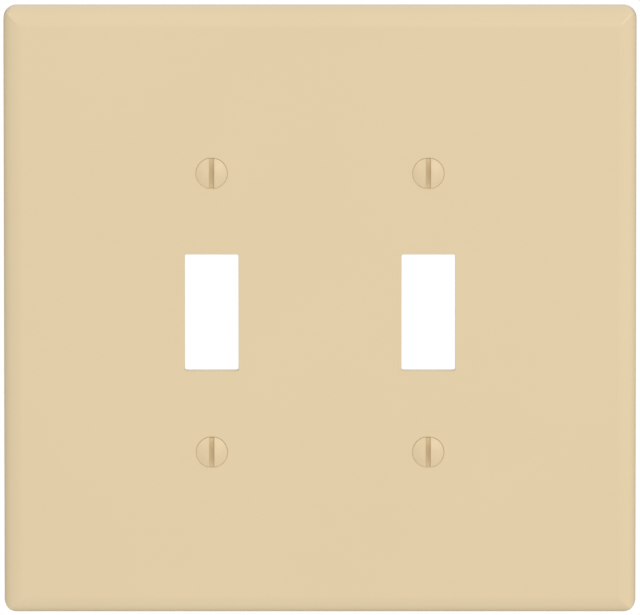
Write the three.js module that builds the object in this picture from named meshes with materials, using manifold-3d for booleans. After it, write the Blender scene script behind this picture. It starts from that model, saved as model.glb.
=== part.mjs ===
// Oversized two-gang wall plate for toggle switches, with its four mounting screws.
//
// Everything is drawn in the plate's own frame and stood up at the end: x runs to the right, y runs up,
// and z runs out of the wall towards the room. The origin is the middle of the wall plane, which is
// where the plate's rear rim rests. Millimetres.

import * as THREE from "three";
import { mergeVertices } from "three/addons/utils/BufferGeometryUtils.js";
import Module from "manifold-3d";

// Wall plate, outside
const PLATE_WIDTH = 134.4;
const PLATE_HEIGHT = 130.9;
const PLATE_DEPTH = 7;
const PLATE_CORNER_RADIUS = 2.8;
const SHOULDER_WIDTH = 4.1;
const SHOULDER_DEPTH = 4.2;

// Wall plate, inside
const FACE_THICKNESS = 2.4;
const SKIRT_THICKNESS = 1.9;
const INNER_CORNER_RADIUS = 1;
const INNER_FILLET = 1.5;

// Standard pitches between two gangs and between the two screws of a toggle switch
const GANG_PITCH = 46.04;
const SCREW_PITCH = 60.325;

// Toggle slots
const SLOT_WIDTH = 11.4;
const SLOT_HEIGHT = 25.3;

// Screw holes and the bosses behind them
const HOLE_DIAMETER = 5.2;
const COUNTERSINK_DIAMETER = 6.9;
const COUNTERSINK_ANGLE = 82;
const BOSS_DIAMETER = 10.6;
const BOSS_BORE = 7.4;
const BOSS_REAR = 1.6;
const HOLE_PAD = 0.3;

// Ribs on the back of the face
const RIB_THICKNESS = 1.2;
const RIB_HEIGHT = 2.2;
const RIB_CLEARANCE = 1.6;

// Round marks that the ejector pins leave on the back of the face
const PIN_MARK_DIAMETER = 6;
const PIN_MARK_DEPTH = 0.2;
const PIN_MARK_X = 54;
const PIN_MARK_Y = 46;

// 6-32 oval-head screws
const SCREW_DIAMETER = 3.45;
const SCREW_LENGTH = 12.7;
const SCREW_TIP_CHAMFER = 0.6;
const HEAD_DIAMETER = 6.6;
const HEAD_EDGE = 0.1;
const HEAD_CROWN = 0.9;
const DRIVE_SLOT_WIDTH = 1.1;
const DRIVE_SLOT_DEPTH = 1.25;

// Fineness of round surfaces
const ROUND_SEGMENTS = 32;
const PIN_MARK_SEGMENTS = 16;
const CORNER_SEGMENTS = 6;
const SHOULDER_SEGMENTS = 8;
const FILLET_SEGMENTS = 3;
const CROWN_SEGMENTS = 6;

// Cutters and joined pieces run past the surface they meet by this much.
const OVERSHOOT = 1;

const GANG_X = [-GANG_PITCH / 2, GANG_PITCH / 2];
const SCREW_Y = [-SCREW_PITCH / 2, SCREW_PITCH / 2];
const FACE_REAR = PLATE_DEPTH - FACE_THICKNESS;
const COUNTERSINK_SLOPE = Math.tan(THREE.MathUtils.degToRad(COUNTERSINK_ANGLE / 2));

const wasm = await Module();
wasm.setup();

// Solids: a closed geometry becomes a manifold that can be joined and cut, and comes back as geometry.

function solid(geometry) {
  const bare = geometry.clone();
  bare.deleteAttribute("normal");
  bare.deleteAttribute("uv");
  const merged = mergeVertices(bare);
  return new wasm.Manifold(
    new wasm.Mesh({
      numProp: 3,
      vertProperties: merged.attributes.position.array,
      triVerts: new Uint32Array(merged.index.array),
    }),
  );
}

function geometryOf(manifold) {
  const mesh = manifold.getMesh();
  const geometry = new THREE.BufferGeometry();
  geometry.setAttribute("position", new THREE.BufferAttribute(mesh.vertProperties, mesh.numProp));
  geometry.setIndex(new THREE.BufferAttribute(mesh.triVerts, 1));
  const flat = geometry.toNonIndexed();
  flat.computeVertexNormals();
  return flat;
}

// Outlines and simple solids

function roundedRectangle(width, height, radius) {
  const x = width / 2 - radius;
  const y = height / 2 - radius;
  const outline = new THREE.Shape();
  outline.absarc(x, y, radius, 0, Math.PI / 2);
  outline.absarc(-x, y, radius, Math.PI / 2, Math.PI);
  outline.absarc(-x, -y, radius, Math.PI, 1.5 * Math.PI);
  outline.absarc(x, -y, radius, 1.5 * Math.PI, 2 * Math.PI);
  return outline;
}

function rectangle(width, height) {
  const x = width / 2;
  const y = height / 2;
  return new THREE.Shape([
    new THREE.Vector2(-x, -y),
    new THREE.Vector2(x, -y),
    new THREE.Vector2(x, y),
    new THREE.Vector2(-x, y),
  ]);
}

// A flat-topped slab from zLow to zHigh with round corners. Its top edge falls away in a quarter ellipse,
// edgeWidth across and edgeDepth down, which meets itself in a mitre at each corner.
function crownedSlab({ width, height, zLow, zHigh, cornerRadius, edgeWidth, edgeDepth, edgeSegments }) {
  const top = rectangle(width - 2 * edgeWidth, height - 2 * edgeWidth);
  const crowned = new THREE.ExtrudeGeometry(top, {
    depth: zHigh - zLow - edgeDepth,
    bevelThickness: edgeDepth,
    bevelSize: edgeWidth,
    bevelSegments: edgeSegments,
  }).translate(0, 0, zLow);
  const column = new THREE.ExtrudeGeometry(roundedRectangle(width, height, cornerRadius), {
    depth: zHigh - zLow,
    bevelEnabled: false,
    curveSegments: CORNER_SEGMENTS,
  }).translate(0, 0, zLow);
  return solid(crowned).intersect(solid(column));
}

function box(width, height, zLow, zHigh, x, y) {
  const geometry = new THREE.BoxGeometry(width, height, zHigh - zLow);
  return solid(geometry.translate(x, y, (zLow + zHigh) / 2));
}

function cylinder(diameter, zLow, zHigh, x, y, segments = ROUND_SEGMENTS) {
  const geometry = new THREE.CylinderGeometry(diameter / 2, diameter / 2, zHigh - zLow, segments);
  return solid(geometry.rotateX(Math.PI / 2).translate(x, y, (zLow + zHigh) / 2));
}

// A profile of [radius, z] pairs, from the axis to the axis and rising in z, turned about the z axis.
function turned(profile) {
  const points = profile.map(([radius, z]) => new THREE.Vector2(radius, z));
  return solid(new THREE.LatheGeometry(points, ROUND_SEGMENTS).rotateX(Math.PI / 2));
}

// Wall plate

function shell() {
  const outside = crownedSlab({
    width: PLATE_WIDTH,
    height: PLATE_HEIGHT,
    zLow: 0,
    zHigh: PLATE_DEPTH,
    cornerRadius: PLATE_CORNER_RADIUS,
    edgeWidth: SHOULDER_WIDTH,
    edgeDepth: SHOULDER_DEPTH,
    edgeSegments: SHOULDER_SEGMENTS,
  });
  const hollow = crownedSlab({
    width: PLATE_WIDTH - 2 * SKIRT_THICKNESS,
    height: PLATE_HEIGHT - 2 * SKIRT_THICKNESS,
    zLow: -OVERSHOOT,
    zHigh: FACE_REAR,
    cornerRadius: INNER_CORNER_RADIUS,
    edgeWidth: INNER_FILLET,
    edgeDepth: INNER_FILLET,
    edgeSegments: FILLET_SEGMENTS,
  });
  return outside.subtract(hollow);
}

// A grid of ribs: it frames both slots and runs on to the skirt on every side, with one rib down the
// middle of the plate.
function ribs() {
  const zLow = FACE_REAR - RIB_HEIGHT;
  const zHigh = FACE_REAR + OVERSHOOT;
  const across = PLATE_WIDTH - 2 * SKIRT_THICKNESS + OVERSHOOT;
  const along = PLATE_HEIGHT - 2 * SKIRT_THICKNESS + OVERSHOOT;
  const sideways = SLOT_WIDTH / 2 + RIB_CLEARANCE + RIB_THICKNESS / 2;
  const upwards = SLOT_HEIGHT / 2 + RIB_CLEARANCE + RIB_THICKNESS / 2;
  const uprightX = [0, ...GANG_X.flatMap((x) => [x - sideways, x + sideways])];
  const uprights = uprightX.map((x) => box(RIB_THICKNESS, along, zLow, zHigh, x, 0));
  const levels = [-upwards, upwards].map((y) => box(across, RIB_THICKNESS, zLow, zHigh, 0, y));
  return [...uprights, ...levels];
}

function boss(x, y) {
  const outside = cylinder(BOSS_DIAMETER, BOSS_REAR, FACE_REAR + OVERSHOOT, x, y);
  const bore = cylinder(BOSS_BORE, BOSS_REAR - OVERSHOOT, FACE_REAR - HOLE_PAD, x, y);
  return outside.subtract(bore);
}

// The cutter for one screw hole: a straight bore that opens into a countersink at the face.
function screwHole(x, y) {
  const bore = HOLE_DIAMETER / 2;
  const mouth = COUNTERSINK_DIAMETER / 2;
  const depth = (mouth - bore) / COUNTERSINK_SLOPE;
  const profile = [
    [0, -OVERSHOOT],
    [bore, -OVERSHOOT],
    [bore, PLATE_DEPTH - depth],
    [mouth, PLATE_DEPTH],
    [mouth, PLATE_DEPTH + OVERSHOOT],
    [0, PLATE_DEPTH + OVERSHOOT],
  ];
  return turned(profile).translate([x, y, 0]);
}

function toggleSlot(x) {
  return box(SLOT_WIDTH, SLOT_HEIGHT, -OVERSHOOT, PLATE_DEPTH + OVERSHOOT, x, 0);
}

function pinMark(x, y) {
  const zHigh = FACE_REAR + PIN_MARK_DEPTH;
  return cylinder(PIN_MARK_DIAMETER, FACE_REAR - OVERSHOOT, zHigh, x, y, PIN_MARK_SEGMENTS);
}

function pinMarks() {
  const outer = [-PIN_MARK_X, PIN_MARK_X].flatMap((x) => [-PIN_MARK_Y, 0, PIN_MARK_Y].map((y) => [x, y]));
  const besideMiddle = GANG_PITCH / 6;
  const inner = [-besideMiddle, besideMiddle].flatMap((x) => [-PIN_MARK_Y, PIN_MARK_Y].map((y) => [x, y]));
  return [...outer, ...inner].map(([x, y]) => pinMark(x, y));
}

function wallPlate() {
  const screwPlaces = GANG_X.flatMap((x) => SCREW_Y.map((y) => [x, y]));
  let plate = shell();
  for (const rib of ribs()) plate = plate.add(rib);
  for (const [x, y] of screwPlaces) plate = plate.add(boss(x, y));
  for (const [x, y] of screwPlaces) plate = plate.subtract(screwHole(x, y));
  for (const x of GANG_X) plate = plate.subtract(toggleSlot(x));
  for (const mark of pinMarks()) plate = plate.subtract(mark);
  return geometryOf(plate);
}

// Screw. Its origin is the middle of the head's widest circle, and its shank points down the -z axis.
function mountingScrew() {
  const head = HEAD_DIAMETER / 2;
  const shank = SCREW_DIAMETER / 2;
  const neck = (head - shank) / COUNTERSINK_SLOPE;
  const crownRadius = (head ** 2 + HEAD_CROWN ** 2) / (2 * HEAD_CROWN);
  const crownAngle = Math.asin(head / crownRadius);
  const crown = [];
  for (let i = 0; i <= CROWN_SEGMENTS; i++) {
    const angle = crownAngle * (1 - i / CROWN_SEGMENTS);
    const z = crownRadius * (Math.cos(angle) - 1) + HEAD_CROWN;
    crown.push([crownRadius * Math.sin(angle), z]);
  }
  const profile = [
    [0, -SCREW_LENGTH],
    [shank - SCREW_TIP_CHAMFER, -SCREW_LENGTH],
    [shank, -SCREW_LENGTH + SCREW_TIP_CHAMFER],
    [shank, -neck - HEAD_EDGE],
    [head, -HEAD_EDGE],
    ...crown,
  ];
  const driveSlot = box(DRIVE_SLOT_WIDTH, 2 * HEAD_DIAMETER, HEAD_CROWN - DRIVE_SLOT_DEPTH, OVERSHOOT, 0, 0);
  return geometryOf(turned(profile).subtract(driveSlot));
}

// Materials: ivory thermoset for the plate, ivory enamel over plated steel for the screws
function ivoryPlastic() {
  return new THREE.MeshStandardMaterial({ color: 0xe3cfaa, roughness: 0.3, metalness: 0 });
}

function ivoryEnamel() {
  return new THREE.MeshStandardMaterial({ color: 0xe2cca4, roughness: 0.35, metalness: 0.1 });
}

function named(name, geometry, material) {
  const mesh = new THREE.Mesh(geometry, material);
  mesh.name = name;
  return mesh;
}

function screws() {
  const names = { bottom: SCREW_Y[0], top: SCREW_Y[1] };
  const sides = { left: GANG_X[0], right: GANG_X[1] };
  const group = new THREE.Group();
  for (const [level, y] of Object.entries(names)) {
    for (const [side, x] of Object.entries(sides)) {
      const screw = named(`screw_${level}_${side}`, mountingScrew(), ivoryEnamel());
      screw.position.set(x, y, PLATE_DEPTH);
      group.add(screw);
    }
  }
  return group;
}

// Standing up: the plate's y axis becomes +Z, and its face looks along -Y.
const assembly = new THREE.Group();
assembly.rotation.x = Math.PI / 2;
assembly.add(named("wall_plate", wallPlate(), ivoryPlastic()), screws());

export default assembly;
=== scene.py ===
"""Looks of the oversized two-gang toggle wall plate: fine meshes and materials round the CAD frame."""

import math

import bmesh
import bpy
from mathutils import Matrix, Vector


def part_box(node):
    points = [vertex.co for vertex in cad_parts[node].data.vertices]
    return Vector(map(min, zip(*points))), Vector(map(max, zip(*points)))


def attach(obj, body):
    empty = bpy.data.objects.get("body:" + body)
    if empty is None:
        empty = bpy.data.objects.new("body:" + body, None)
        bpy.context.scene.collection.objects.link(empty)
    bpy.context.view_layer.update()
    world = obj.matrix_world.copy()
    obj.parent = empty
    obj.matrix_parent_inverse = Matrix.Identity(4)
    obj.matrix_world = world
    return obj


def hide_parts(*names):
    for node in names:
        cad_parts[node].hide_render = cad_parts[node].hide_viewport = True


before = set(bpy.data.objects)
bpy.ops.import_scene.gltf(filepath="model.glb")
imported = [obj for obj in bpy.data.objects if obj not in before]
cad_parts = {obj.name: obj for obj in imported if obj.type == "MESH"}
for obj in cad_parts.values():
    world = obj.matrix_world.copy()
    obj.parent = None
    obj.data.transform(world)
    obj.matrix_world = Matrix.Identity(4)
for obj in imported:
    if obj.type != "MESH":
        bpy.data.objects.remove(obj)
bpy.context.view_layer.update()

MM = 0.001

# The plate's own sizes, in millimetres, from the CAD node's box
plate_low, plate_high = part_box("wall_plate")
WIDTH = (plate_high.x - plate_low.x) / MM
HEIGHT = (plate_high.z - plate_low.z) / MM
DEPTH = (plate_high.y - plate_low.y) / MM
CORNER_RADIUS = 2.8
MITRE_RADIUS = 0.45
MITRE_BITE = 2.7
SHOULDER_WIDTH = 4.1
SHOULDER_DEPTH = 4.2
FACE_THICKNESS = 2.4
FACE_REAR = DEPTH - FACE_THICKNESS
SKIRT = 1.9
INNER_FILLET = 1.5
RIM_ROUNDING = 0.25

SLOT_WIDTH = 11.4
SLOT_HEIGHT = 25.3
SLOT_CORNER = 0.35
EDGE_ROUNDING = 0.15

HOLE_RADIUS = 2.6
COUNTERSINK_RADIUS = 3.45
COUNTERSINK_HALF_ANGLE = 41
COUNTERSINK_SLOPE = math.tan(math.radians(COUNTERSINK_HALF_ANGLE))
BOSS_RADIUS = 5.3
BOSS_BORE = 3.7
BOSS_REAR = 1.6
BOSS_FILLET = 0.4
HOLE_PAD = 0.3

RIB_HALF = 0.6
RIB_HEIGHT = 2.2
RIB_CLEARANCE = 1.6
RIB_FLARE = 0.3
RIB_ROUNDING = 0.25
RIB_ROOT = 0.5
RIB_OVERLAP = 0.02

PIN_MARK_RADIUS = 3
PIN_MARK_DEPTH = 0.2
PIN_MARK_X = 54
PIN_MARK_Y = 46
GANG_PITCH_DIVISION = 6

# 6-32 oval-head screws. Half the thread's crest and half its root are given as parts of the pitch.
PITCH = 25.4 / 32
THREAD_DEPTH = 0.541 * PITCH
THREAD_RADIUS = 1.725
CREST_HALF = 1 / 16
ROOT_HALF = 1 / 8
RUN_OUT_SLOPE = 0.5
NECK_RADIUS = 1.5
NECK_LENGTH = 0.4
SCREW_LENGTH = 12.7
TIP_CHAMFER = 0.6
HEAD_RADIUS = 3.3
HEAD_EDGE = 0.1
CROWN = 0.9
DRIVE_SLOT_WIDTH = 1.1
DRIVE_SLOT_DEPTH = 1.25
CUTTER_CLEARANCE = 1
PAINT_REACH = 2.2
PAINT_EDGE_SOFTNESS = 0.05
PAINT_EDGE_RAGGEDNESS = 0.4

# Fineness of round surfaces
CORNER_STEPS = 14
SHOULDER_STEPS = 28
ROUNDING_STEPS = 4
FILLET_STEPS = 8
CIRCLE_STEPS = 72
SCREW_STEPS = 48
CROWN_STEPS = 14
FLOOR_STEPS = 128
SPARE_TURNS = 2
MERGE_DISTANCE = 0.002
SLIVER_LENGTH = 0.001

# Edges that turn by more than this many degrees stay crisp
PLATE_SHARP_ANGLE = 38
SCREW_SHARP_ANGLE = 35


def screw_centre(name):
    """The middle of a screw in the plate's plane, in millimetres, from its CAD node's box."""
    low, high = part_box(name)
    middle = (low + high) / 2 / MM
    return middle.x, middle.z


SCREWS = {
    "top_left": screw_centre("screw_top_left"),
    "top_right": screw_centre("screw_top_right"),
    "bottom_left": screw_centre("screw_bottom_left"),
    "bottom_right": screw_centre("screw_bottom_right"),
}
GANGS = sorted({round(x, 2) for x, y in SCREWS.values()})


# ---- Outlines and profiles. Plate coordinates: x right, y up, z out of the wall, in millimetres. ----

def place(x, y, z):
    """A point in plate coordinates as a point in the frame, in metres."""
    return Vector((x, -z, y)) * MM


def arc(centre_u, centre_v, radius_u, radius_v, start, end, steps):
    """Points [u, v] on an arc, angles in degrees from the u axis towards the v axis, both ends included."""
    points = []
    for i in range(steps + 1):
        angle = math.radians(start + (end - start) * i / steps)
        points.append((centre_u + radius_u * math.cos(angle), centre_v + radius_v * math.sin(angle)))
    return points


def rounded_rectangle(width, height, radius, steps=CORNER_STEPS):
    """A closed outline, anticlockwise seen from the room, with the same number of points at any size."""
    x = width / 2 - radius
    y = height / 2 - radius
    outline = []
    for quarter, (sign_x, sign_y) in enumerate([(1, 1), (-1, 1), (-1, -1), (1, -1)]):
        outline += arc(sign_x * x, sign_y * y, radius, radius, 90 * quarter, 90 * quarter + 90, steps)
    return outline


def plate_outline(size):
    """The plate's outline drawn in, for a size of (inset, corner radius)."""
    inset, radius = size
    return rounded_rectangle(WIDTH - 2 * inset, HEIGHT - 2 * inset, radius)


def slot_outline(centre_x):
    def outline(growth):
        points = rounded_rectangle(
            SLOT_WIDTH + 2 * growth, SLOT_HEIGHT + 2 * growth, SLOT_CORNER + growth, ROUNDING_STEPS)
        return [(centre_x + x, y) for x, y in points]
    return outline


def circle_outline(centre_x, centre_y):
    def outline(radius):
        points = arc(0, 0, radius, radius, 0, 360, CIRCLE_STEPS)[:-1]
        return [(centre_x + x, centre_y + y) for x, y in points]
    return outline


def sweep(bm, outline, profile, turned=False):
    """Faces between outline(size) at height z, for each (size, z) of the profile. Returns the end loops."""
    rows = [[bm.verts.new(place(x, y, z)) for x, y in outline(size)] for size, z in profile]
    for row, following in zip(rows, rows[1:]):
        for i in range(len(row)):
            j = (i + 1) % len(row)
            corners = [row[i], row[j], following[j], following[i]]
            bm.faces.new(corners[::-1] if turned else corners)
    return rows[0], rows[-1]


def fill(bm, loops, normal):
    """Closes the flat area between an outer loop and the loops inside it."""
    edges = []
    for loop in loops:
        edges += [bm.edges.get((loop[i - 1], loop[i])) or bm.edges.new((loop[i - 1], loop[i]))
                  for i in range(len(loop))]
    bmesh.ops.triangle_fill(bm, use_beauty=True, edges=edges, normal=normal)


# ---- The wall plate ----

def edge_profile():
    """From the face's edge over the shoulder, round the rear rim and up the skirt to the back of the face.

    The size is (inset, corner radius). The shoulders meet in soft mitres that spread into the plate's
    rounded corners near the wall, and inside the rim the corners stay concentric.
    """
    shoulder_foot = DEPTH - SHOULDER_DEPTH
    shoulder = arc(SHOULDER_WIDTH, shoulder_foot, SHOULDER_WIDTH, SHOULDER_DEPTH, 90, 180, SHOULDER_STEPS)
    r = RIM_ROUNDING
    outer_rim = arc(r, r, r, r, 180, 270, ROUNDING_STEPS)
    inner_rim = arc(SKIRT - r, r, r, r, 270, 360, ROUNDING_STEPS)
    f = INNER_FILLET
    fillet = arc(SKIRT + f, FACE_REAR - f, f, f, 180, 90, FILLET_STEPS)
    mitred = [((inset, max(CORNER_RADIUS - MITRE_BITE * inset, MITRE_RADIUS)), z) for inset, z in shoulder]
    concentric = [((inset, max(CORNER_RADIUS - inset, MITRE_RADIUS)), z)
                  for inset, z in outer_rim + inner_rim + fillet]
    return mitred + concentric


def slot_profile():
    """From the face down through a toggle slot. The size is how far the outline has grown."""
    r = EDGE_ROUNDING
    front = arc(r, DEPTH - r, r, r, 90, 180, ROUNDING_STEPS)
    rear = arc(r, FACE_REAR + r, r, r, 180, 270, ROUNDING_STEPS)
    return front + rear


def hole_profile():
    """From the face down a countersunk hole, over its boss and out to the back of the face, by radius."""
    r = EDGE_ROUNDING
    cone_foot = DEPTH - (COUNTERSINK_RADIUS - HOLE_RADIUS) / COUNTERSINK_SLOPE
    cone_turn = 90 - COUNTERSINK_HALF_ANGLE
    mouth_radius = COUNTERSINK_RADIUS + r * math.tan(math.radians(cone_turn / 2))
    mouth = arc(mouth_radius, DEPTH - r, r, r, 90, 90 + cone_turn, ROUNDING_STEPS)
    bore = [(HOLE_RADIUS, cone_foot), (HOLE_RADIUS, FACE_REAR - HOLE_PAD)]
    pad = [(BOSS_BORE, FACE_REAR - HOLE_PAD)]
    inner_lip = arc(BOSS_BORE + r, BOSS_REAR + r, r, r, 180, 270, ROUNDING_STEPS)
    outer_lip = arc(BOSS_RADIUS - r, BOSS_REAR + r, r, r, 270, 360, ROUNDING_STEPS)
    f = BOSS_FILLET
    fillet = arc(BOSS_RADIUS + f, FACE_REAR - f, f, f, 180, 90, ROUNDING_STEPS)
    return mouth + bore + pad + inner_lip + outer_lip + fillet


def pin_mark_profile():
    """From the back of the face up into the shallow dish that an ejector pin leaves, by radius."""
    r = PIN_MARK_DEPTH / 2
    lip = arc(PIN_MARK_RADIUS + r, FACE_REAR + r, r, r, 270, 180, ROUNDING_STEPS)
    floor = arc(PIN_MARK_RADIUS - r, FACE_REAR + r, r, r, 0, 90, ROUNDING_STEPS)
    return lip + floor


def pin_mark_places():
    outer = [(x, y) for x in (-PIN_MARK_X, PIN_MARK_X) for y in (-PIN_MARK_Y, 0, PIN_MARK_Y)]
    beside_middle = (GANGS[1] - GANGS[0]) / GANG_PITCH_DIVISION
    inner = [(x, y) for x in (-beside_middle, beside_middle) for y in (-PIN_MARK_Y, PIN_MARK_Y)]
    return outer + inner


def plate_shell():
    """The moulding without its ribs: one closed mesh, swept along every edge and filled between them."""
    bm = bmesh.new()
    face_loops = []
    back_loops = []
    first, last = sweep(bm, plate_outline, edge_profile(), turned=True)
    face_loops.append(first)
    back_loops.append(last)
    openings = [(slot_outline(x), slot_profile()) for x in GANGS]
    openings += [(circle_outline(x, y), hole_profile()) for x, y in SCREWS.values()]
    for outline, profile in openings:
        first, last = sweep(bm, outline, profile)
        face_loops.append(first)
        back_loops.append(last)
    for x, y in pin_mark_places():
        first, last = sweep(bm, circle_outline(x, y), pin_mark_profile(), turned=True)
        back_loops.append(first)
        bm.faces.new(last)
    fill(bm, face_loops, Vector((0, -1, 0)))
    fill(bm, back_loops, Vector((0, 1, 0)))
    bmesh.ops.recalc_face_normals(bm, faces=bm.faces)
    return finished_mesh(bm, "moulded_plate")


def rib_section():
    """Half widths and heights across a rib, from its root inside the face to the middle of its crest."""
    crest = FACE_REAR - RIB_HEIGHT
    flare_foot = FACE_REAR + RIB_OVERLAP
    flare = arc(RIB_HALF + RIB_FLARE, flare_foot - RIB_FLARE, RIB_FLARE, RIB_FLARE, 90, 180, ROUNDING_STEPS)
    r = RIB_ROUNDING
    lip = arc(RIB_HALF - r, crest + r, r, r, 0, -90, ROUNDING_STEPS)
    return [(RIB_HALF + RIB_FLARE, FACE_REAR + RIB_ROOT)] + flare + lip


def rib(upright, position, length):
    """One rib across the back of the face, as a closed bar whose ends are buried in the skirt."""
    half = rib_section()
    section = half + [(-u, z) for u, z in reversed(half)]
    bm = bmesh.new()
    ends = []
    for along in (-length / 2, length / 2):
        if upright:
            points = [place(position + u, along, z) for u, z in section]
        else:
            points = [place(along, position + u, z) for u, z in section]
        ends.append([bm.verts.new(point) for point in points])
    for i in range(len(section)):
        j = (i + 1) % len(section)
        bm.faces.new([ends[0][i], ends[0][j], ends[1][j], ends[1][i]])
    bm.faces.new(ends[0])
    bm.faces.new(ends[1])
    bmesh.ops.recalc_face_normals(bm, faces=bm.faces)
    return finished_mesh(bm, "rib")


def ribs():
    sideways = SLOT_WIDTH / 2 + RIB_CLEARANCE + RIB_HALF
    upwards = SLOT_HEIGHT / 2 + RIB_CLEARANCE + RIB_HALF
    uprights = [0] + [x + side for x in GANGS for side in (-sideways, sideways)]
    made = [rib(True, x, HEIGHT - SKIRT) for x in uprights]
    made += [rib(False, y, WIDTH - SKIRT) for y in (-upwards, upwards)]
    return made


# ---- The screws ----

def thread_depth_at(height, turn):
    """How deep the thread is cut at a height and a part of a turn: a V, flat at its crest and root."""
    phase = (height / PITCH - turn) % 1
    from_crest = min(phase, 1 - phase)
    flank = 1 / 2 - CREST_HALF - ROOT_HALF
    return THREAD_DEPTH * min(max((from_crest - CREST_HALF) / flank, 0), 1)


def thread_radius(height, turn, tip, neck):
    cut = THREAD_RADIUS - thread_depth_at(height, turn)
    at_tip = THREAD_RADIUS - TIP_CHAMFER + (height - tip)
    at_neck = NECK_RADIUS + (neck - height) * RUN_OUT_SLOPE
    return min(cut, at_tip, max(at_neck, THREAD_RADIUS - THREAD_DEPTH))


def head_profile(cone_foot, neck):
    """Radius and height from the screw's neck up the cone and over the oval crown, short of the axis."""
    crown_radius = (HEAD_RADIUS ** 2 + CROWN ** 2) / (2 * CROWN)
    sweep_angle = math.degrees(math.asin(HEAD_RADIUS / crown_radius))
    crown = arc(0, CROWN - crown_radius, crown_radius, crown_radius, 90 - sweep_angle, 90, CROWN_STEPS)
    return [(NECK_RADIUS, neck), (NECK_RADIUS, cone_foot), (HEAD_RADIUS, -HEAD_EDGE)] + crown[:-1]


def screw_body(name, centre_x, centre_y):
    """A screw without its drive slot. The thread's rows of points climb with the helix."""
    bm = bmesh.new()
    tip = -SCREW_LENGTH
    cone_foot = -HEAD_EDGE - (HEAD_RADIUS - NECK_RADIUS) / COUNTERSINK_SLOPE
    neck = cone_foot - NECK_LENGTH

    def ring_point(radius, height, turn):
        angle = 2 * math.pi * turn
        x = centre_x + radius * math.cos(angle)
        y = centre_y + radius * math.sin(angle)
        return place(x, y, DEPTH + height)

    row_steps = [-CREST_HALF, CREST_HALF, 1 / 2 - ROOT_HALF, 1 / 2 + ROOT_HALF]
    first_turn = math.floor(tip / PITCH) - SPARE_TURNS
    last_turn = math.ceil(neck / PITCH) + SPARE_TURNS
    rows = []
    for turn_number in range(first_turn, last_turn):
        for step in row_steps:
            row = []
            for column in range(SCREW_STEPS + 1):
                turn = column / SCREW_STEPS
                height = min(max((turn_number + step + turn) * PITCH, tip), neck)
                radius = thread_radius(height, turn, tip, neck)
                row.append(bm.verts.new(ring_point(radius, height, turn)))
            rows.append(row)
    for row, following in zip(rows, rows[1:]):
        for i in range(SCREW_STEPS):
            bm.faces.new([row[i], row[i + 1], following[i + 1], following[i]])
    head = head_profile(cone_foot, neck)
    head_rows = [[bm.verts.new(ring_point(radius, height, i / SCREW_STEPS)) for i in range(SCREW_STEPS)]
                 for radius, height in head]
    for row, following in zip(head_rows, head_rows[1:]):
        for i in range(SCREW_STEPS):
            j = (i + 1) % SCREW_STEPS
            bm.faces.new([row[i], row[j], following[j], following[i]])
    bm.faces.new(head_rows[-1])
    bmesh.ops.remove_doubles(bm, verts=bm.verts, dist=MERGE_DISTANCE * MM)
    bmesh.ops.dissolve_degenerate(bm, edges=bm.edges, dist=SLIVER_LENGTH * MM)
    bmesh.ops.holes_fill(bm, edges=[edge for edge in bm.edges if edge.is_boundary], sides=0)
    bmesh.ops.recalc_face_normals(bm, faces=bm.faces)
    return finished_mesh(bm, name)


def drive_slot_cutter(centre_x, centre_y):
    bm = bmesh.new()
    bmesh.ops.create_cube(bm, size=1)
    low = CROWN - DRIVE_SLOT_DEPTH
    high = CROWN + CUTTER_CLEARANCE
    length = 2 * (HEAD_RADIUS + CUTTER_CLEARANCE)
    size = Matrix.Diagonal((DRIVE_SLOT_WIDTH * MM, (high - low) * MM, length * MM, 1))
    middle = Matrix.Translation(place(centre_x, centre_y, DEPTH + (low + high) / 2))
    bmesh.ops.transform(bm, matrix=middle @ size, verts=bm.verts)
    return finished_mesh(bm, "drive_slot_cutter")


# ---- From meshes to finished pieces ----

def finished_mesh(bm, name):
    mesh = bpy.data.meshes.new(name)
    bm.to_mesh(mesh)
    bm.free()
    piece = bpy.data.objects.new(name, mesh)
    bpy.context.scene.collection.objects.link(piece)
    return piece


def apply_boolean(piece, tool, operation):
    """Joins or cuts with another piece, which is then removed."""
    modifier = piece.modifiers.new("boolean", "BOOLEAN")
    modifier.object = tool
    modifier.operation = operation
    modifier.solver = "EXACT"
    bpy.context.view_layer.update()
    evaluated = piece.evaluated_get(bpy.context.evaluated_depsgraph_get())
    mesh = bpy.data.meshes.new_from_object(evaluated)
    piece.modifiers.clear()
    piece.data = mesh
    bpy.data.objects.remove(tool)


def smooth_shaded(piece, sharp_degrees):
    """Smooth shading that keeps real edges crisp and flat faces flat."""
    bm = bmesh.new()
    bm.from_mesh(piece.data)
    for face in bm.faces:
        face.smooth = True
    for edge in bm.edges:
        edge.smooth = edge.calc_face_angle(0) < math.radians(sharp_degrees)
    bm.to_mesh(piece.data)
    bm.free()
    modifier = piece.modifiers.new("weighted_normals", "WEIGHTED_NORMAL")
    modifier.keep_sharp = True
    modifier.weight = 100


# ---- Materials. Colours are linear red, green and blue, from the darkest to the lightest mottle. ----

PLASTIC_COLOURS = ((0.747, 0.598, 0.369), (0.759, 0.610, 0.379))
PAINT_COLOURS = ((0.738, 0.586, 0.353), (0.758, 0.604, 0.371))
ZINC_COLOURS = ((0.56, 0.57, 0.58), (0.70, 0.70, 0.69))
FLOOR_COLOURS = ((0.88, 0.88, 0.88), (0.91, 0.91, 0.91))
MOTTLE_FROM = 0.3
MOTTLE_TO = 0.7


def new_material(name):
    material = bpy.data.materials.new(name)
    material.use_nodes = True
    return material, material.node_tree.nodes, material.node_tree.links


def noise(nodes, links, coordinates, scale, detail=3, roughness=0.5):
    texture = nodes.new("ShaderNodeTexNoise")
    texture.inputs["Scale"].default_value = scale
    texture.inputs["Detail"].default_value = detail
    texture.inputs["Roughness"].default_value = roughness
    links.new(coordinates, texture.inputs["Vector"])
    return texture.outputs["Fac"]


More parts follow.
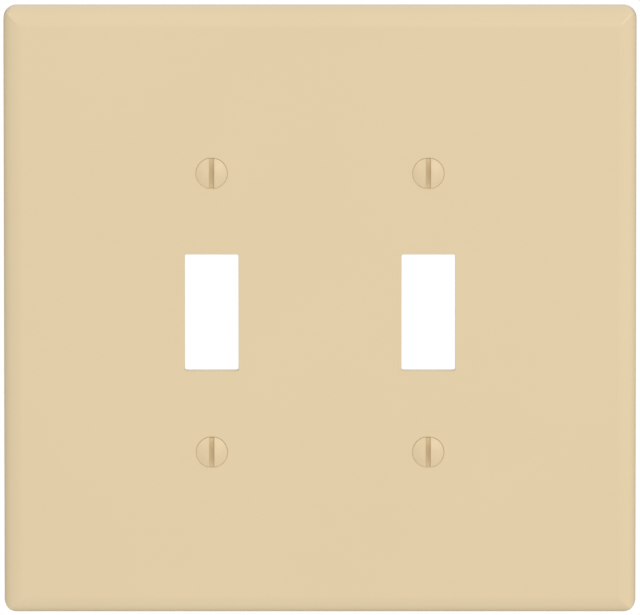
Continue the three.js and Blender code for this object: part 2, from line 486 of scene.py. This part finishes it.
def ramp(nodes, links, value, stops):
    """A colour ramp with (position, colour) stops."""
    node = nodes.new("ShaderNodeValToRGB")
    node.color_ramp.elements[0].position = stops[0][0]
    node.color_ramp.elements[0].color = (*stops[0][1], 1)
    node.color_ramp.elements[1].position = stops[-1][0]
    node.color_ramp.elements[1].color = (*stops[-1][1], 1)
    for position, colour in stops[1:-1]:
        element = node.color_ramp.elements.new(position)
        element.color = (*colour, 1)
    links.new(value, node.inputs["Fac"])
    return node.outputs["Color"]


def mottled(nodes, links, value, colours):
    """A noise value as a colour between two."""
    return ramp(nodes, links, value, [(MOTTLE_FROM, colours[0]), (MOTTLE_TO, colours[1])])


def mapped(nodes, links, value, low, high, from_low=0, from_high=1):
    """Stretches a value's range from_low to from_high onto low to high."""
    node = nodes.new("ShaderNodeMapRange")
    node.inputs["From Min"].default_value = from_low
    node.inputs["From Max"].default_value = from_high
    node.inputs["To Min"].default_value = low
    node.inputs["To Max"].default_value = high
    links.new(value, node.inputs["Value"])
    return node.outputs["Result"]


def calculated(nodes, links, operation, *values):
    node = nodes.new("ShaderNodeMath")
    node.operation = operation
    for value, socket in zip(values, node.inputs):
        links.new(value, socket)
    return node.outputs["Value"]


def bumped(nodes, links, height, distance, strength, normal=None):
    node = nodes.new("ShaderNodeBump")
    node.inputs["Strength"].default_value = strength
    node.inputs["Distance"].default_value = distance
    links.new(height, node.inputs["Height"])
    if normal is not None:
        links.new(normal, node.inputs["Normal"])
    return node.outputs["Normal"]


def ivory_thermoset():
    """Glossy ivory moulding: faint flow marks in colour and gloss, and a very slight orange peel."""
    material, nodes, links = new_material("ivory_thermoset")
    shader = nodes["Principled BSDF"]
    coordinates = nodes.new("ShaderNodeTexCoord").outputs["Object"]
    flow = noise(nodes, links, coordinates, scale=22, detail=4)
    links.new(mottled(nodes, links, flow, PLASTIC_COLOURS), shader.inputs["Base Color"])
    haze = noise(nodes, links, coordinates, scale=60, detail=5, roughness=0.6)
    links.new(mapped(nodes, links, haze, low=0.2, high=0.26), shader.inputs["Roughness"])
    waves = noise(nodes, links, coordinates, scale=500, detail=2)
    peel = bumped(nodes, links, waves, distance=0.00006, strength=0.45)
    specks = noise(nodes, links, coordinates, scale=4000, detail=2)
    grain = bumped(nodes, links, specks, distance=0.00001, strength=0.2, normal=peel)
    links.new(grain, shader.inputs["Normal"])
    return material


def enamelled_steel():
    """Ivory enamel on the head, bright zinc plate on the shank, with a ragged edge between them."""
    material, nodes, links = new_material("ivory_enamelled_steel")
    shader = nodes["Principled BSDF"]
    coordinates = nodes.new("ShaderNodeTexCoord").outputs["Object"]
    separate = nodes.new("ShaderNodeSeparateXYZ")
    links.new(coordinates, separate.inputs["Vector"])
    tatters = noise(nodes, links, coordinates, scale=1500, detail=3)
    raggedness = PAINT_EDGE_RAGGEDNESS * MM
    ragged = mapped(nodes, links, tatters, -raggedness, raggedness)
    depth = calculated(nodes, links, "ADD", separate.outputs["Y"], ragged)
    paint_edge = (PAINT_REACH - DEPTH) * MM
    softness = PAINT_EDGE_SOFTNESS * MM
    plated = mapped(nodes, links, depth, 0, 1, paint_edge - softness, paint_edge + softness)
    cloud = noise(nodes, links, coordinates, scale=700, detail=4)
    paint = mottled(nodes, links, cloud, PAINT_COLOURS)
    zinc = mottled(nodes, links, cloud, ZINC_COLOURS)
    colour = nodes.new("ShaderNodeMix")
    colour.data_type = "RGBA"
    links.new(plated, colour.inputs["Factor"])
    links.new(paint, colour.inputs["A"])
    links.new(zinc, colour.inputs["B"])
    links.new(colour.outputs["Result"], shader.inputs["Base Color"])
    links.new(plated, shader.inputs["Metallic"])
    links.new(mapped(nodes, links, cloud, low=0.29, high=0.42), shader.inputs["Roughness"])
    specks = noise(nodes, links, coordinates, scale=1800, detail=3)
    links.new(bumped(nodes, links, specks, distance=0.00002, strength=0.35), shader.inputs["Normal"])
    return material


def pale_floor():
    """Pale and matt, fading away into the background towards the floor's rim."""
    material, nodes, links = new_material("pale_floor")
    shader = nodes["Principled BSDF"]
    coordinates = nodes.new("ShaderNodeTexCoord").outputs["Object"]
    cloud = noise(nodes, links, coordinates, scale=6, detail=2)
    links.new(mottled(nodes, links, cloud, FLOOR_COLOURS), shader.inputs["Base Color"])
    shader.inputs["Roughness"].default_value = 0.8
    separate = nodes.new("ShaderNodeSeparateXYZ")
    links.new(coordinates, separate.inputs["Vector"])
    level = nodes.new("ShaderNodeCombineXYZ")
    links.new(separate.outputs["X"], level.inputs["X"])
    links.new(separate.outputs["Y"], level.inputs["Y"])
    from_middle = nodes.new("ShaderNodeVectorMath")
    from_middle.operation = "LENGTH"
    links.new(level.outputs["Vector"], from_middle.inputs[0])
    opacity = mapped(nodes, links, from_middle.outputs["Value"], 1, 0, FLOOR_FADE_START, FLOOR_RADIUS)
    links.new(opacity, shader.inputs["Alpha"])
    return material


# ---- The pieces ----

def build_plate():
    plate = plate_shell()
    for bar in ribs():
        apply_boolean(plate, bar, "UNION")
    smooth_shaded(plate, PLATE_SHARP_ANGLE)
    plate.data.materials.append(ivory_thermoset())
    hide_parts("wall_plate")
    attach(plate, "plate")


def build_screws():
    steel = enamelled_steel()
    for place_name, (x, y) in SCREWS.items():
        screw = screw_body("oval_head_screw_" + place_name, x, y)
        apply_boolean(screw, drive_slot_cutter(x, y), "DIFFERENCE")
        smooth_shaded(screw, SCREW_SHARP_ANGLE)
        screw.data.materials.append(steel)
        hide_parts("screw_" + place_name)
        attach(screw, place_name + "_screw")


# ---- Studio. Angles are in degrees, the lens and sensor in millimetres, and the rest in metres. ----

VIEW_AZIMUTH = 0
VIEW_ELEVATION = 10.9
LENS = 1500
SENSOR = 36
FRAME_WIDTH = 0.1362
TARGET_HEIGHT = -0.00015
CAMERA_REACH = 50
FLOOR_RADIUS = 0.22
FLOOR_FADE_START = 0.35 * FLOOR_RADIUS
FLOOR_HEIGHT = -0.11

# Every light is a neutral white. The fill's strength from the left and right, and its share from
# below and above
FILL_LEFT = 0.83
FILL_RIGHT = 0.95
FILL_BELOW = 0.93
FILL_ABOVE = 1.03

# What shiny surfaces mirror: a grey room in front, a panel high on each side, and behind the plate
# a backdrop that is bright above and dark below
MIRRORED_FRONT = 0.86
MIRRORED_BACKDROP_LOW = 0.15
MIRRORED_BACKDROP_HIGH = 0.75
MIRRORED_PANELS = 1.6

# Where each of these begins and is complete, along a direction of length 1: x right, y into the wall, z up
BEHIND_ALONG_Y = (-0.2, 0.6)
BACKDROP_ALONG_Z = (-0.1, 0.2)
PANELS_ALONG_X = (0.15, 0.4)
PANELS_ALONG_Z = (0.05, 0.3)
PANELS_END_ALONG_Y = (-0.3, 0.1)


def direction(azimuth, elevation):
    """From the object towards something at that azimuth and elevation. 0, 0 is straight in front."""
    a = math.radians(azimuth)
    e = math.radians(elevation)
    return Vector((math.sin(a) * math.cos(e), -math.cos(a) * math.cos(e), math.sin(e)))


def add_camera():
    data = bpy.data.cameras.new("camera")
    data.lens = LENS
    data.sensor_width = SENSOR
    data.clip_end = CAMERA_REACH
    camera = bpy.data.objects.new("camera", data)
    back = direction(VIEW_AZIMUTH, VIEW_ELEVATION)
    target = Vector((0, 0, TARGET_HEIGHT))
    camera.location = target + back * FRAME_WIDTH * LENS / SENSOR
    camera.rotation_mode = "QUATERNION"
    camera.rotation_quaternion = (-back).to_track_quat("-Z", "Y")
    bpy.context.scene.collection.objects.link(camera)
    bpy.context.scene.camera = camera


def add_softbox(name, azimuth, elevation, distance, size, power):
    data = bpy.data.lights.new(name, "AREA")
    data.shape = "DISK"
    data.size = size
    data.energy = power
    light = bpy.data.objects.new(name, data)
    towards = direction(azimuth, elevation)
    light.location = towards * distance
    light.rotation_mode = "QUATERNION"
    light.rotation_quaternion = (-towards).to_track_quat("-Z", "Y")
    bpy.context.scene.collection.objects.link(light)


def add_softboxes():
    add_softbox("key", azimuth=26, elevation=20, distance=1.6, size=1.2, power=4)
    add_softbox("left", azimuth=-58, elevation=32, distance=1.5, size=0.22, power=0.5)
    add_softbox("right", azimuth=58, elevation=32, distance=1.5, size=0.22, power=0.2)
    add_softbox("top", azimuth=0, elevation=84, distance=1.2, size=0.8, power=0.1)


def white_background(nodes, links, strength=1):
    """White light of a fixed strength, or of the strength that a socket gives."""
    shader = nodes.new("ShaderNodeBackground")
    shader.inputs["Color"].default_value = (1, 1, 1, 1)
    if isinstance(strength, bpy.types.NodeSocket):
        links.new(strength, shader.inputs["Strength"])
    else:
        shader.inputs["Strength"].default_value = strength
    return shader.outputs["Background"]


def mixed_shaders(nodes, links, factor, first, second):
    mix = nodes.new("ShaderNodeMixShader")
    links.new(factor, mix.inputs["Fac"])
    links.new(first, mix.inputs[1])
    links.new(second, mix.inputs[2])
    return mix.outputs["Shader"]


def mirrored_light(nodes, links, towards):
    """The grey room, its backdrop and its two panels, which only shiny surfaces show."""
    backwards = mapped(nodes, links, towards["Y"], 0, 1, *BEHIND_ALONG_Y)
    height = mapped(
        nodes, links, towards["Z"], MIRRORED_BACKDROP_LOW, MIRRORED_BACKDROP_HIGH, *BACKDROP_ALONG_Z)
    room = white_background(nodes, links, MIRRORED_FRONT)
    backdrop = white_background(nodes, links, height)
    surroundings = mixed_shaders(nodes, links, backwards, room, backdrop)
    sideways = calculated(nodes, links, "ABSOLUTE", towards["X"])
    beside = mapped(nodes, links, sideways, 0, 1, *PANELS_ALONG_X)
    above = mapped(nodes, links, towards["Z"], 0, 1, *PANELS_ALONG_Z)
    in_front = mapped(nodes, links, towards["Y"], 1, 0, *PANELS_END_ALONG_Y)
    panels = beside
    for limit in (above, in_front):
        panels = calculated(nodes, links, "MULTIPLY", panels, limit)
    return mixed_shaders(nodes, links, panels, surroundings, white_background(nodes, links, MIRRORED_PANELS))


def add_world():
    """Plain white to the camera, a grey room to what mirrors it, and a soft fill light to the rest."""
    world = bpy.data.worlds.new("studio")
    world.use_nodes = True
    nodes = world.node_tree.nodes
    links = world.node_tree.links
    nodes.remove(nodes["Background"])
    separate = nodes.new("ShaderNodeSeparateXYZ")
    links.new(nodes.new("ShaderNodeTexCoord").outputs["Generated"], separate.inputs["Vector"])
    towards = separate.outputs
    ray = nodes.new("ShaderNodeLightPath").outputs
    across = mapped(nodes, links, towards["X"], FILL_LEFT, FILL_RIGHT, -1, 1)
    upwards = mapped(nodes, links, towards["Z"], FILL_BELOW, FILL_ABOVE, -1, 1)
    fill = white_background(nodes, links, calculated(nodes, links, "MULTIPLY", across, upwards))
    unseen = mixed_shaders(nodes, links, ray["Is Glossy Ray"], fill, mirrored_light(nodes, links, towards))
    white = white_background(nodes, links)
    shader = mixed_shaders(nodes, links, ray["Is Camera Ray"], unseen, white)
    links.new(shader, nodes["World Output"].inputs["Surface"])
    bpy.context.scene.world = world


def add_floor():
    """A round pale floor below the main view. It takes shadows, and gives neither light nor shadow."""
    bm = bmesh.new()
    bmesh.ops.create_circle(bm, cap_ends=True, segments=FLOOR_STEPS, radius=FLOOR_RADIUS)
    bmesh.ops.translate(bm, vec=Vector((0, 0, FLOOR_HEIGHT)), verts=bm.verts)
    floor = finished_mesh(bm, "floor")
    floor.data.materials.append(pale_floor())
    floor.visible_diffuse = False
    floor.visible_glossy = False
    floor.visible_shadow = False


build_plate()
build_screws()
add_camera()
add_world()
add_softboxes()
add_floor()
bpy.context.scene.view_settings.view_transform = "Standard"
